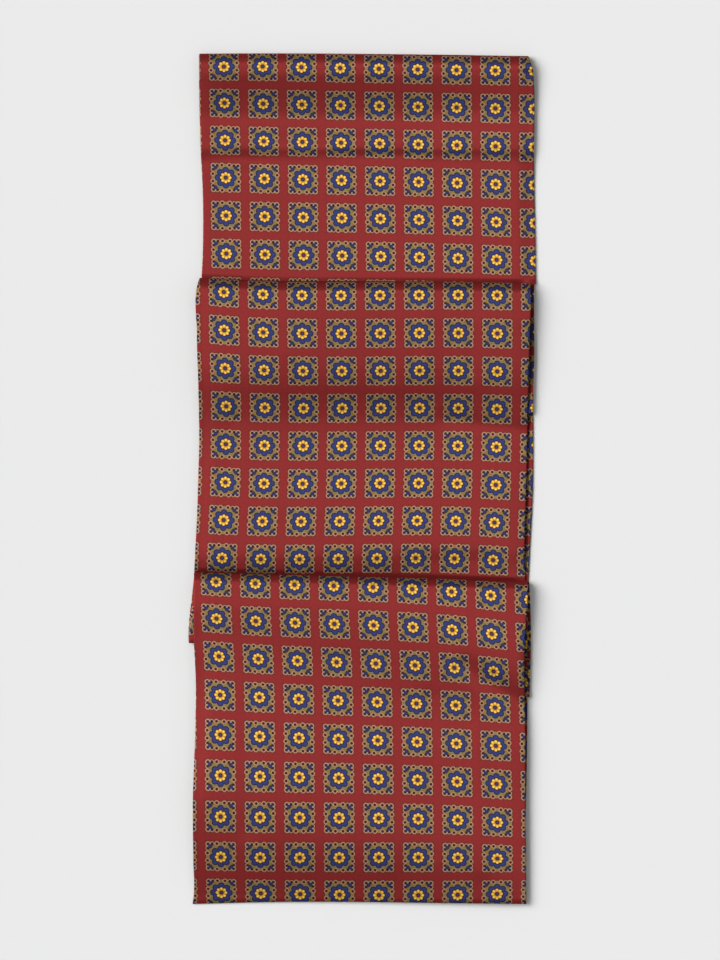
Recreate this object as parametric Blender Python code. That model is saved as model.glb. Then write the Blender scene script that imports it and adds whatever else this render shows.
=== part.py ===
"""Silk scarf, tubular, folded flat in a cascade of three stretches.

The scarf is one long tube of printed silk. It lies folded on a table: the
top fold is at +Y, and three stretches show one below the other. Each lower
stretch rises out of a tuck in a rounded crest, and the tucks and the lower
half of the scarf lie hidden beneath as one layered solid.

Lengths are in millimetres until a mesh is made. "From the top" is measured
from the top fold towards -Y, "across" is measured from the centre line.
"""
import math

import bmesh
import bpy
import numpy as np
from mathutils import Vector

MM = 0.001

# Driving dimensions of the folded scarf.
LENGTH = 765.4
HALF_LENGTH = LENGTH / 2.0
HALF_WIDTH = 150.0
WALL = 2.2
HALF_WALL = WALL / 2.0
SEAM_GAP = 0.35

# The top fold, and the part of it that turns under.
TOP_FOLD_RADIUS = 3.5
TOP_FOLD_RETURN = 14.0

# The crests and tucks: heights at their feet, and lengths from foot to body.
CREST_FOOT = 4.5
TUCK_FOOT = 5.0
MIDDLE_CREST = 11.0
BOTTOM_CREST_LEFT = 10.0
BOTTOM_CREST_RIGHT = 6.0
TOP_TUCK = 2.8
MIDDLE_TUCK_LEFT = 14.6
MIDDLE_TUCK_RIGHT = 3.4
MIDDLE_TUCK_TURN = 80.0
MIDDLE_TUCK_TURN_WIDTH = 30.0

# The hidden layers, grooved under each tuck and between the layers at the sides.
LAYER_CLEARANCE = WALL + 0.5
GROOVE_HEIGHT = 3.9
GROOVE_HALF_WIDTH = 3.3
GROOVE_WALL_SLOPE = 1.3
SIDE_INSET = 2.0
SIDE_SLOPE = 3.0
LAYER_BULGE = 0.8
THINNEST_LAYER = 0.7

# Rounding of a wall's side edge: place in half walls, and share of the thickness.
EDGE_PLACES = (0.0, 0.3, 1.1)
EDGE_SHARE = 0.72
HEM_SHARE = 0.3

# Sampling of the walls.
BODY_SPACING = 10.5
CREST_STEPS = 5
FOLD_STEPS = 6
ACROSS_STEPS = 10


def table(columns, rows):
    """Turn rows under named columns into one array for each column."""
    values = np.array(rows, dtype=float)
    return {name: values[:, index] for index, name in enumerate(columns.split())}


# Fold lines and the two ends: distance from the top at five places across.
LINES = table(
    "across top_fold upper_tuck lower_tuck hem under_end",
    (
        (-150, 0.3, 201.3, 466.7, 765.4, 748.0),
        (-75, 0.0, 204.2, 468.5, 763.6, 749.0),
        (0, 0.5, 204.5, 470.6, 763.6, 752.0),
        (75, 1.3, 205.0, 472.3, 764.6, 760.0),
        (150, 2.6, 206.1, 474.3, 765.4, 764.0),
    ),
)

# Side edges of each stretch that shows.
TOP_LEFT = table(
    "from_top across",
    ((0, -147.2), (42, -146.8), (87, -145.6), (123, -143.8), (173, -143.6), (206, -145.0)),
)
TOP_RIGHT = table(
    "from_top across",
    ((0, 150.2), (5, 151.4), (16, 154.3), (24, 154.9), (97, 155.2), (185, 156.5), (206, 156.6)),
)
MIDDLE_LEFT = table(
    "from_top across",
    (
        (201, -146.4), (207, -148.2), (252, -149.0), (303, -147.6), (357, -146.9),
        (411, -148.7), (456, -150.9), (475, -151.8),
    ),
)
MIDDLE_RIGHT = table(
    "from_top across",
    ((201, 150.2), (210, 151.1), (258, 150.3), (312, 149.0), (384, 147.6), (456, 146.0), (475, 146.6)),
)
BOTTOM_LEFT = table(
    "from_top across",
    (
        (466, -151.6), (492, -151.7), (528, -151.6), (564, -150.0), (606, -150.4),
        (672, -152.6), (726, -152.2), (756, -151.8), (766, -153.0),
    ),
)
BOTTOM_RIGHT = table(
    "from_top across",
    (
        (466, 149.0), (490, 148.6), (504, 147.6), (526, 146.1), (573, 145.8),
        (592, 146.9), (672, 147.5), (766, 148.1),
    ),
)

# Height of the cloth's face above the table, along three lines of each stretch.
TOP_RELIEF = table(
    "from_top left centre right",
    (
        (0, 7.0, 7.0, 7.0),
        (20, 7.2, 7.2, 7.0),
        (34, 6.2, 5.9, 6.1),
        (48, 4.9, 4.5, 5.3),
        (58, 4.4, 4.1, 5.1),
        (70, 4.9, 4.5, 5.7),
        (84, 5.3, 5.1, 6.0),
        (95, 4.3, 4.4, 5.0),
        (106, 4.2, 4.3, 4.7),
        (150, 5.0, 5.1, 5.1),
        (170, 5.7, 5.8, 5.7),
        (184, 7.0, 7.1, 7.0),
        (195, 7.9, 7.9, 7.9),
        (206, 7.8, 7.8, 7.8),
    ),
)
MIDDLE_RELIEF = table(
    "from_top left centre right",
    (
        (201, 12.6, 12.8, 12.4),
        (225, 12.9, 13.1, 12.7),
        (255, 12.6, 12.8, 12.3),
        (275, 12.0, 12.0, 11.7),
        (292, 10.8, 10.2, 10.7),
        (305, 8.9, 7.8, 9.0),
        (320, 6.6, 5.5, 7.0),
        (340, 4.9, 4.6, 5.1),
        (360, 4.7, 4.8, 4.7),
        (400, 5.4, 5.7, 4.9),
        (432, 6.3, 6.7, 5.7),
        (456, 7.8, 8.0, 7.4),
        (475, 8.7, 8.9, 8.6),
    ),
)
BOTTOM_RELIEF = table(
    "from_top left centre right",
    (
        (466, 12.0, 12.6, 12.2),
        (488, 12.1, 13.0, 12.9),
        (512, 10.8, 12.0, 12.8),
        (530, 9.7, 10.9, 12.2),
        (550, 9.0, 10.0, 10.9),
        (568, 8.6, 9.3, 9.2),
        (590, 8.2, 8.8, 7.8),
        (640, 7.6, 8.1, 7.1),
        (690, 6.8, 7.3, 6.8),
        (716, 5.8, 6.5, 6.7),
        (740, 4.0, 5.3, 6.6),
        (766, 2.5, 3.7, 6.4),
    ),
)

# Each stretch's relief, and the tucks above and below it.
STRETCHES = {
    "top": (TOP_RELIEF, None, "upper_tuck"),
    "middle": (MIDDLE_RELIEF, "upper_tuck", "lower_tuck"),
    "bottom": (BOTTOM_RELIEF, "lower_tuck", None),
}

# Outline of the hidden layers where they stand out, and the height of that ledge.
UNDER_RIGHT = table(
    "from_top across ledge",
    (
        (0, 150.0, 4.0),
        (24, 152.4, 4.0),
        (195, 154.4, 4.0),
        (214, 155.9, 4.6),
        (258, 155.3, 5.0),
        (305, 154.6, 4.4),
        (330, 154.6, 2.8),
        (402, 153.9, 2.7),
        (443, 151.7, 2.7),
        (478, 149.9, 3.4),
        (492, 150.8, 5.0),
        (570, 150.3, 4.6),
        (584, 149.2, 2.8),
        (636, 148.9, 3.4),
        (708, 147.4, 3.4),
        (766, 147.6, 3.0),
    ),
)
UNDER_LEFT = table(
    "from_top across ledge",
    (
        (0, -145.2, 4.0),
        (42, -144.8, 4.0),
        (123, -141.8, 4.0),
        (195, -142.4, 3.6),
        (252, -147.0, 6.5),
        (303, -145.6, 5.0),
        (357, -144.9, 2.8),
        (456, -148.9, 3.4),
        (472, -152.0, 4.6),
        (486, -153.2, 5.0),
        (505, -155.6, 5.0),
        (521, -156.9, 5.0),
        (529, -155.6, 4.6),
        (535, -149.8, 4.4),
        (606, -148.4, 3.0),
        (700, -150.4, 2.4),
        (766, -150.2, 1.4),
    ),
)


def smooth_curve(places, values, at):
    """Read a smooth curve through a table's values (cubic Hermite)."""
    slopes = np.gradient(values, places)
    at = np.clip(at, places[0], places[-1])
    index = np.clip(np.searchsorted(places, at, side="right") - 1, 0, len(places) - 2)
    width = places[index + 1] - places[index]
    part = (at - places[index]) / width
    start = (1 + 2 * part) * (1 - part) ** 2 * values[index]
    start += part * (1 - part) ** 2 * width * slopes[index]
    finish = part**2 * (3 - 2 * part) * values[index + 1]
    finish += part**2 * (part - 1) * width * slopes[index + 1]
    return start + finish


def line(name, across):
    """Distance of a fold line or an end from the top, at a place across."""
    return smooth_curve(LINES["across"], LINES[name], np.asarray(across, dtype=float))


def edge(side, from_top):
    """Place across of a side edge, at a distance from the top."""
    return smooth_curve(side["from_top"], side["across"], np.asarray(from_top, dtype=float))


def quarter_rise(distance, length):
    """Height of a quarter ellipse, 0 at its foot and 1 past its length."""
    part = np.clip(distance / length, 0.0, 1.0)
    return np.sqrt(1.0 - (1.0 - part) ** 2)


def body_height(relief, from_top, across):
    """Height of a stretch between its crest and its tuck."""
    left = smooth_curve(relief["from_top"], relief["left"], from_top)
    centre = smooth_curve(relief["from_top"], relief["centre"], from_top)
    right = smooth_curve(relief["from_top"], relief["right"], from_top)
    side = np.clip(across / HALF_WIDTH, -1.0, 1.0)
    even = (left + right) / 2.0 - centre
    return centre + side * (right - left) / 2.0 + side**2 * even


def crest_length(panel, across):
    """How far a stretch takes to rise out of the tuck above it."""
    if panel == "middle":
        return MIDDLE_CREST
    share = (across + HALF_WIDTH) / (2.0 * HALF_WIDTH)
    return BOTTOM_CREST_LEFT + (BOTTOM_CREST_RIGHT - BOTTOM_CREST_LEFT) * share


def fall_length(panel, across):
    """How far a stretch takes to sink into the tuck below it."""
    if panel == "top":
        return TOP_TUCK
    turn = np.tanh((across - MIDDLE_TUCK_TURN) / MIDDLE_TUCK_TURN_WIDTH)
    return MIDDLE_TUCK_LEFT + (MIDDLE_TUCK_RIGHT - MIDDLE_TUCK_LEFT) * (1.0 + turn) / 2.0


def face_height(panel, from_top, across):
    """Height of a stretch's face, with its crest and its tuck."""
    relief, above, below = STRETCHES[panel]
    body = body_height(relief, from_top, across)
    height = body
    if below:
        fall = quarter_rise(line(below, across) - from_top, fall_length(panel, across))
        height = TUCK_FOOT + (body - TUCK_FOOT) * fall
    if above:
        away = from_top - line(above, across) - SEAM_GAP
        rise = quarter_rise(away, crest_length(panel, across))
        height = np.minimum(height, CREST_FOOT + (body - CREST_FOOT) * rise)
    return height


def surface_height(from_top, across):
    """Height of whichever stretch shows at a place."""
    top = face_height("top", from_top, across)
    middle = face_height("middle", from_top, across)
    bottom = face_height("bottom", from_top, across)
    lower = np.where(from_top < line("lower_tuck", across), middle, bottom)
    return np.where(from_top < line("upper_tuck", across), top, lower)


def quarter_offsets(length, steps):
    """Distances along a quarter ellipse, close together where it is steep."""
    angles = [math.pi / 2.0 * step / steps for step in range(steps)]
    return [length * (1.0 - math.cos(angle)) for angle in angles]


def station_row(place, left, right):
    """Points across one station: its tips, its rounded edges and its body."""
    first = float(edge(left, place(-HALF_WIDTH)))
    last = float(edge(right, place(HALF_WIDTH)))
    near = [HALF_WALL * share for share in EDGE_PLACES]
    inner = np.linspace(first + near[-1], last - near[-1], ACROSS_STEPS + 1)
    across = np.concatenate(([first + near[0], first + near[1]], inner, [last - near[1], last]))
    return across, np.array([float(place(x)) for x in across])


def world(across, from_top, height):
    """Place a point given in millimetres in the scarf's own frame, in metres."""
    return Vector((across * MM, (HALF_LENGTH - from_top) * MM, height * MM))


def body_rows(panel, start, finish, left, right):
    """Evenly spaced stations between two lines, each bent like its lines."""
    gap = float(finish(0.0) - start(0.0))
    count = max(2, round(gap / BODY_SPACING))
    rows = []
    for step in range(count + 1):
        share = step / count

        def place(x, share=share):
            return start(x) + (finish(x) - start(x)) * share

        across, from_top = station_row(place, left, right)
        height = face_height(panel, from_top, across)
        rows.append([world(*point) for point in zip(across, from_top, height)])
    return rows


def crest_rows(panel, line_name, left, right):
    """Stations up the crest with which a stretch rises out of its tuck."""
    rows = []
    for share in quarter_offsets(1.0, CREST_STEPS):

        def place(x, share=share):
            return line(line_name, x) + SEAM_GAP + share * crest_length(panel, x)

        across, from_top = station_row(place, left, right)
        height = face_height(panel, from_top, across)
        rows.append([world(*point) for point in zip(across, from_top, height)])
    return rows


def fall_rows(panel, line_name, left, right):
    """Stations down the end with which a stretch sinks into a tuck."""
    rows = []
    for share in reversed(quarter_offsets(1.0, CREST_STEPS)):

        def place(x, share=share):
            return line(line_name, x) - share * fall_length(panel, x)

        across, from_top = station_row(place, left, right)
        height = face_height(panel, from_top, across)
        rows.append([world(*point) for point in zip(across, from_top, height)])
    return rows


def top_fold_rows(left, right):
    """Stations of the top fold: the wall returns underneath and turns over."""
    radius = TOP_FOLD_RADIUS
    profile = [(TOP_FOLD_RETURN, 0.0), ((TOP_FOLD_RETURN + radius) / 2.0, 0.0)]
    for step in range(FOLD_STEPS + 1):
        angle = math.pi * step / FOLD_STEPS
        profile.append((radius - radius * math.sin(angle), radius - radius * math.cos(angle)))
    rows = []
    for distance, height in profile:

        def place(x, distance=distance):
            return line("top_fold", x) + distance

        across, from_top = station_row(place, left, right)
        rows.append([world(x, away, height) for x, away in zip(across, from_top)])
    return rows


def hem_rows(left, right):
    """Close stations at the hem, where the tube is turned in and thins out."""
    rows = []
    for distance in (HALF_WALL * share for share in reversed(EDGE_PLACES)):

        def place(x, distance=distance):
            return line("hem", x) - distance

        across, from_top = station_row(place, left, right)
        height = face_height("bottom", from_top, across)
        rows.append([world(*point) for point in zip(across, from_top, height)])
    return rows


def outward_normals(rows):
    """Normals of a grid of face points, up on top and outward round a fold."""
    points = np.array([[tuple(point) for point in row] for row in rows])
    along = np.gradient(points, axis=0)
    across = np.gradient(points, axis=1)
    normals = np.cross(along, across)
    return normals / np.linalg.norm(normals, axis=2)[:, :, None], points


def edge_profile(count):
    """Share of the wall's thickness at each point across a station."""
    share = np.ones(count)
    share[0] = share[-1] = 0.0
    share[1] = share[-2] = EDGE_SHARE
    return share


def wall_mesh(name, rows, hem=False):
    """Make a flat tube: the face points, the same points moved in, and caps."""
    normals, face = outward_normals(rows)
    half = HALF_WALL * MM
    middle = face - normals * half
    thickness = half * np.tile(edge_profile(face.shape[1]), (face.shape[0], 1))
    if hem:
        thickness[-1] *= HEM_SHARE
        thickness[-2] *= EDGE_SHARE
    upper = middle + normals * thickness[:, :, None]
    lower = middle - normals * thickness[:, :, None]

    shape = bmesh.new()
    last_column = face.shape[1] - 1
    upper_points = []
    lower_points = []
    for row in range(face.shape[0]):
        top_row = [shape.verts.new(point) for point in upper[row]]
        bottom_row = [shape.verts.new(point) for point in lower[row][1:-1]]
        upper_points.append(top_row)
        lower_points.append([top_row[0], *bottom_row, top_row[-1]])
    for row in range(face.shape[0] - 1):
        for column in range(last_column):
            add_quad(shape, upper_points, row, column, flip=False)
            add_quad(shape, lower_points, row, column, flip=True)
    for row, flip in ((0, True), (face.shape[0] - 1, False)):
        for column in range(last_column):
            corners = [
                upper_points[row][column],
                lower_points[row][column],
                lower_points[row][column + 1],
                upper_points[row][column + 1],
            ]
            add_face(shape, corners[::-1] if flip else corners)
    return finish_mesh(name, shape)


def add_quad(shape, grid, row, column, flip):
    """Add one cell of a grid of points."""
    corners = [
        grid[row][column],
        grid[row + 1][column],
        grid[row + 1][column + 1],
        grid[row][column + 1],
    ]
    add_face(shape, corners[::-1] if flip else corners)


def add_face(shape, corners):
    """Add a face, leaving out a corner that two points share."""
    distinct = list(dict.fromkeys(corners))
    if len(distinct) > 2:
        shape.faces.new(distinct)


def finish_mesh(name, shape):
    """Turn a bmesh into a named object with its faces pointing out."""
    bmesh.ops.recalc_face_normals(shape, faces=shape.faces[:])
    mesh = bpy.data.meshes.new(name)
    shape.to_mesh(mesh)
    shape.free()
    mesh.shade_smooth()
    piece = bpy.data.objects.new(name, mesh)
    bpy.context.scene.collection.objects.link(piece)
    return piece


def ledge_height(side, from_top):
    """Height of the ledge where the hidden layers stand out."""
    return smooth_curve(side["from_top"], side["ledge"], from_top)


def hidden_height(from_top, across):
    """Top of the hidden layers: a clearance below the cloth that covers them."""
    near = surface_height(from_top, across)
    before = surface_height(from_top - LAYER_CLEARANCE, across)
    after = surface_height(from_top + LAYER_CLEARANCE, across)
    height = np.minimum(np.minimum(before, near), after) - LAYER_CLEARANCE
    for name in ("upper_tuck", "lower_tuck"):
        beyond = np.maximum(0.0, np.abs(from_top - line(name, across)) - GROOVE_HALF_WIDTH)
        height = np.minimum(height, GROOVE_HEIGHT + GROOVE_WALL_SLOPE * beyond)
    return np.maximum(height, THINNEST_LAYER)


def cover_edges(from_top, across):
    """Side edges of the stretch that covers the hidden layers at a place."""
    if from_top < line("upper_tuck", across):
        return float(edge(TOP_LEFT, from_top)), float(edge(TOP_RIGHT, from_top))
    if from_top < line("lower_tuck", across):
        return float(edge(MIDDLE_LEFT, from_top)), float(edge(MIDDLE_RIGHT, from_top))
    return float(edge(BOTTOM_LEFT, from_top)), float(edge(BOTTOM_RIGHT, from_top))


def hidden_stations():
    """Stations of the hidden layers as functions of the place across."""
    start = TOP_FOLD_RETURN + SEAM_GAP
    offsets = (-6.0, -3.4, 0.0, 3.4, 6.0, 11.0)
    places = [lambda x: line("top_fold", x) + start]

    def between(first, last, count):
        for step in range(1, count):
            share = step / count
            places.append(lambda x, share=share: first(x) + (last(x) - first(x)) * share)

    def beside(name):
        for offset in offsets:
            places.append(lambda x, offset=offset: line(name, x) + offset)

    between(places[0], lambda x: line("upper_tuck", x) + offsets[0], 12)
    beside("upper_tuck")
    between(
        lambda x: line("upper_tuck", x) + offsets[-1],
        lambda x: line("lower_tuck", x) + offsets[0],
        16,
    )
    beside("lower_tuck")
    between(lambda x: line("lower_tuck", x) + offsets[-1], lambda x: line("under_end", x), 18)
    places.append(lambda x: line("under_end", x))
    return places


def hidden_grid():
    """Top of the hidden layers, station by station: ledge, body, ledge."""
    grid = []
    for place in hidden_stations():
        left_place = float(place(-HALF_WIDTH))
        right_place = float(place(HALF_WIDTH))
        cover_left = cover_edges(left_place, -HALF_WIDTH)[0]
        cover_right = cover_edges(right_place, HALF_WIDTH)[1]
        out_left = float(edge(UNDER_LEFT, left_place))
        out_right = float(edge(UNDER_RIGHT, right_place))
        in_left = max(cover_left + SIDE_INSET, out_left + 1.0)
        in_right = min(cover_right - SIDE_INSET, out_right - 1.0)
        body = np.linspace(in_left + SIDE_SLOPE, in_right - SIDE_SLOPE, ACROSS_STEPS - 1)
        across = np.concatenate(([out_left, in_left], body, [in_right, out_right]))
        from_top = np.array([float(place(x)) for x in across])
        height = hidden_height(from_top, across)
        left_ledge = float(ledge_height(UNDER_LEFT, left_place))
        right_ledge = float(ledge_height(UNDER_RIGHT, right_place))
        height[:2] = np.minimum(height[:2], left_ledge)
        height[-2:] = np.minimum(height[-2:], right_ledge)
        grid.append(list(zip(across, from_top, height)))
    return grid


def hidden_outline(grid):
    """Boundary of the hidden layers' top, in order round it."""
    rows = len(grid) - 1
    columns = len(grid[0]) - 1
    outline = [(0, column) for column in range(columns)]
    outline += [(row, columns) for row in range(rows)]
    outline += [(rows, column) for column in range(columns, 0, -1)]
    outline += [(row, 0) for row in range(rows, 0, -1)]
    return outline


def hidden_layers_mesh(name):
    """One rounded solid for the hidden layers, grooved round its sides."""
    grid = hidden_grid()
    outline = hidden_outline(grid)
    bulges = ((0.84, 0.0), (0.67, 1.0), (0.5, 0.0), (0.33, 1.0), (0.16, 0.0))
    centre = np.array([0.0, HALF_LENGTH])
    shape = bmesh.new()
    top = [[shape.verts.new(world(*point)) for point in row] for row in grid]
    floor = [[shape.verts.new(world(x, away, 0.0)) for x, away, _ in row] for row in grid]
    sides = [[top[row][column] for row, column in outline]]
    for share, inset in bulges:
        ring = []
        for row, column in outline:
            across, from_top, height = grid[row][column]
            inward = np.array([0.0, 0.0])
            if column in (0, len(grid[0]) - 1):
                inward[0] = -math.copysign(1.0, across)
            if row in (0, len(grid) - 1):
                inward[1] = math.copysign(1.0, centre[1] - from_top)
            move = inward * (inset * LAYER_BULGE)
            ring.append(shape.verts.new(world(across + move[0], from_top + move[1], height * share)))
        sides.append(ring)
    sides.append([floor[row][column] for row, column in outline])
    for row in range(len(grid) - 1):
        for column in range(len(grid[0]) - 1):
            add_quad(shape, top, row, column, flip=False)
            add_quad(shape, floor, row, column, flip=True)
    for ring in range(len(sides) - 1):
        for index in range(len(outline)):
            following = (index + 1) % len(outline)
            corners = [
                sides[ring][index],
                sides[ring][following],
                sides[ring + 1][following],
                sides[ring + 1][index],
            ]
            add_face(shape, corners)
    return finish_mesh(name, shape)


def silk_material(name, colour, roughness):
    """A plain silk finish for one stretch."""
    material = bpy.data.materials.new(name)
    material.use_nodes = True
    principled = material.node_tree.nodes["Principled BSDF"]
    principled.inputs["Base Color"].default_value = (*colour, 1.0)
    principled.inputs["Roughness"].default_value = roughness
    principled.inputs["Metallic"].default_value = 0.0
    return material


def top_panel():
    """The upper stretch, with the top fold and its end in the upper tuck."""
    rows = top_fold_rows(TOP_LEFT, TOP_RIGHT)
    rows += body_rows(
        "top",
        lambda x: line("top_fold", x) + 12.0,
        lambda x: line("upper_tuck", x) - fall_length("top", x) - 2.0,
        TOP_LEFT,
        TOP_RIGHT,
    )
    rows += fall_rows("top", "upper_tuck", TOP_LEFT, TOP_RIGHT)
    return wall_mesh("top_panel", rows)


def middle_panel():
    """The middle stretch, from its crest to its end in the lower tuck."""
    rows = crest_rows("middle", "upper_tuck", MIDDLE_LEFT, MIDDLE_RIGHT)
    rows += body_rows(
        "middle",
        lambda x: line("upper_tuck", x) + SEAM_GAP + crest_length("middle", x),
        lambda x: line("lower_tuck", x) - fall_length("middle", x) - 3.0,
        MIDDLE_LEFT,
        MIDDLE_RIGHT,
    )
    rows += fall_rows("middle", "lower_tuck", MIDDLE_LEFT, MIDDLE_RIGHT)
    return wall_mesh("middle_panel", rows)


def bottom_panel():
    """The lower stretch, from its crest to the hem."""
    rows = crest_rows("bottom", "lower_tuck", BOTTOM_LEFT, BOTTOM_RIGHT)
    rows += body_rows(
        "bottom",
        lambda x: line("lower_tuck", x) + SEAM_GAP + crest_length("bottom", x),
        lambda x: line("hem", x) - 5.0,
        BOTTOM_LEFT,
        BOTTOM_RIGHT,
    )
    rows += hem_rows(BOTTOM_LEFT, BOTTOM_RIGHT)
    return wall_mesh("bottom_panel", rows, hem=True)


def build():
    """Build the folded scarf."""
    for existing in list(bpy.data.objects):
        bpy.data.objects.remove(existing, do_unlink=True)
    scarf = bpy.data.objects.new("silk_scarf", None)
    bpy.context.scene.collection.objects.link(scarf)
    pieces = (
        (top_panel(), silk_material("top_silk", (0.36, 0.035, 0.045), 0.45)),
        (middle_panel(), silk_material("middle_silk", (0.38, 0.040, 0.045), 0.45)),
        (bottom_panel(), silk_material("bottom_silk", (0.37, 0.038, 0.048), 0.45)),
        (hidden_layers_mesh("hidden_layers"), silk_material("under_silk", (0.16, 0.03, 0.06), 0.5)),
    )
    for piece, material in pieces:
        piece.parent = scarf
        piece.data.materials.append(material)


build()
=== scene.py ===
"""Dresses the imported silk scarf: folded cloth, its print, the light and the camera.

The scarf is one tube of silk, 300 mm wide when flat. Its path is followed from
the hem of the hidden half, round the top fold, down the upper stretch, through
the two tucks and down to the hem of the lower stretch. Each stretch is a flat
tube of thin cloth with soft side edges.

Lengths are in millimetres until a mesh is made. "From the top" is measured from
the top fold towards -Y, "across" from the centre line, heights from the table.
Fold lines and side edges follow the photograph at 0.9 mm a pixel. The rows of the
print lie where a program found the photograph's flowers. Heights and creases were
corrected until the render's light and dark followed the photograph's.
"""
import math

import bpy
import numpy as np
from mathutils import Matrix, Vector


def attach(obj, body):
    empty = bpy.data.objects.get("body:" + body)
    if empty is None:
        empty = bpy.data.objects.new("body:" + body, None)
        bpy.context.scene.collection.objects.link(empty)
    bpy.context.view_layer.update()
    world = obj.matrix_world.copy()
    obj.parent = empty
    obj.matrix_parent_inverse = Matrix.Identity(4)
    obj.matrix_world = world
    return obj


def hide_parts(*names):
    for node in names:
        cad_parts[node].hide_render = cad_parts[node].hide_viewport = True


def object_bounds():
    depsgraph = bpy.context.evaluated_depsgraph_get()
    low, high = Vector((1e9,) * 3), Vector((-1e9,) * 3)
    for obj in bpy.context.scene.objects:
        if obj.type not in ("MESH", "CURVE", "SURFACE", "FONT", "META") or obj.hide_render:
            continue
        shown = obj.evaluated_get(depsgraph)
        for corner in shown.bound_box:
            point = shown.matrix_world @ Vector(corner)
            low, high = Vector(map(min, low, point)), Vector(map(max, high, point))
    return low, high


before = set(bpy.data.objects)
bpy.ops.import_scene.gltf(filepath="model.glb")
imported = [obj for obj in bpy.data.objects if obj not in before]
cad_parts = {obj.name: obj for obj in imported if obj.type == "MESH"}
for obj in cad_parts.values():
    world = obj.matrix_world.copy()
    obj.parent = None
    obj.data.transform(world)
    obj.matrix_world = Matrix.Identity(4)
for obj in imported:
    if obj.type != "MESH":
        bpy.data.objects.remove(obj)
cad_low, cad_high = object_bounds()

MM = 0.001

# The photograph's frame: the camera looks straight down at 0.9 mm a pixel.
PIXEL = 0.9 * MM
PHOTO_HEIGHT = 960
CAMERA_HEIGHT = 12.0
SENSOR = 36.0
VIEW_X = -2.25 * MM
VIEW_Y = -1.2 * MM

# ---------------------------------------------------------------- the folded scarf
HALF_LENGTH = (cad_high.y - cad_low.y) / 2.0 / MM
TUBE_WIDTH = 300.0
HALF_WIDTH = TUBE_WIDTH / 2.0

# Thickness of the doubled cloth where it lies soft and where it is tucked away.
SOFT = 1.8
TUCKED = 1.3

# Heights of the middle of each hidden layer: the hidden half, and a tuck's cloth
# on its way under the next stretch and on its way back.
UNDER_HEIGHT = 0.9
GOING_HEIGHT = 2.8
COMING_HEIGHT = 4.5

# The top fold: its height, how far it goes on underneath, and its face's round.
TOP_FOLD_HEIGHT = 9.0
TOP_FOLD_RETURN = 14.0
TOP_FOLD_REACH = 12.0
TOP_FOLD_UNDER = (1.0, 0.75, 0.5, 0.25)

# The crests: a small round nose just past the fold line, then a soft slope.
CREST_GAP = 0.4
NOSE_ROUND = 2.1
MIDDLE_CREST = 10.5
BOTTOM_CREST_LEFT = 9.0
BOTTOM_CREST_RIGHT = 8.0

# The tucks: how far a stretch takes to sink into one, how far past the fold line
# it has sunk, and where the cloth that comes back hands over to the crest.
TOP_TUCK = 4.0
MIDDLE_TUCK_LEFT = 4.5
MIDDLE_TUCK_RIGHT = 3.5
MIDDLE_TUCK_TURN = 75.0
MIDDLE_TUCK_TURN_WIDTH = 30.0
TUCK_MOUTH = 1.5
TUCK_EASE = 1.2
TUCK_DEPTH = 6.0
CREST_LEAD_IN = (TUCK_DEPTH, 4.6, 3.4)

# Where a stretch's even spacing starts, past the top fold and past a crest.
PAST_TOP_FOLD = 2.0
PAST_CREST = 1.5

# Sampling along the path.
SPACING = 2.1
TOP_FOLD_STEPS = 24
TUCK_STEPS = 14
NOSE_STEPS = 7
SLOPE_STEPS = 16
LAYER_STATIONS = 24
LOWER_FOLD_STEPS = 8
UNDER_STEPS = 190
FIRST_ON_SLOPE = len(CREST_LEAD_IN) + NOSE_STEPS

# Sampling across it, closer together round the soft side edges.
ACROSS_COLUMNS = 142
EDGE_STEPS = (0.0, 0.06, 0.22, 0.48, 0.8)
EDGE_ROUND = 1.5

# Stations over which a turned-in end is rounded, and the space in the bake layout.
END_ROUND_STEPS = 2.0
BAKE_GAP = 4.0


def table(columns, rows):
    """Turn rows under named columns into one array for each column."""
    values = np.array(rows, dtype=float)
    return {name: values[:, index] for index, name in enumerate(columns.split())}


# Fold lines, ends and the lower folds of the tucks: distance from the top.
LINES = table(
    "across top_fold upper_tuck lower_tuck hem under_end upper_fold lower_fold",
    (
        (-150, 0.3, 201.3, 466.7, 765.4, 748.0, 302.0, 530.0),
        (-75, 0.0, 204.2, 468.5, 763.6, 749.0, 305.0, 541.0),
        (0, 0.5, 204.5, 470.6, 763.6, 752.0, 310.0, 553.0),
        (75, 1.3, 205.0, 472.3, 764.6, 762.0, 316.0, 566.0),
        (150, 2.6, 206.1, 474.3, 765.4, 765.4, 324.0, 579.0),
    ),
)

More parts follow.
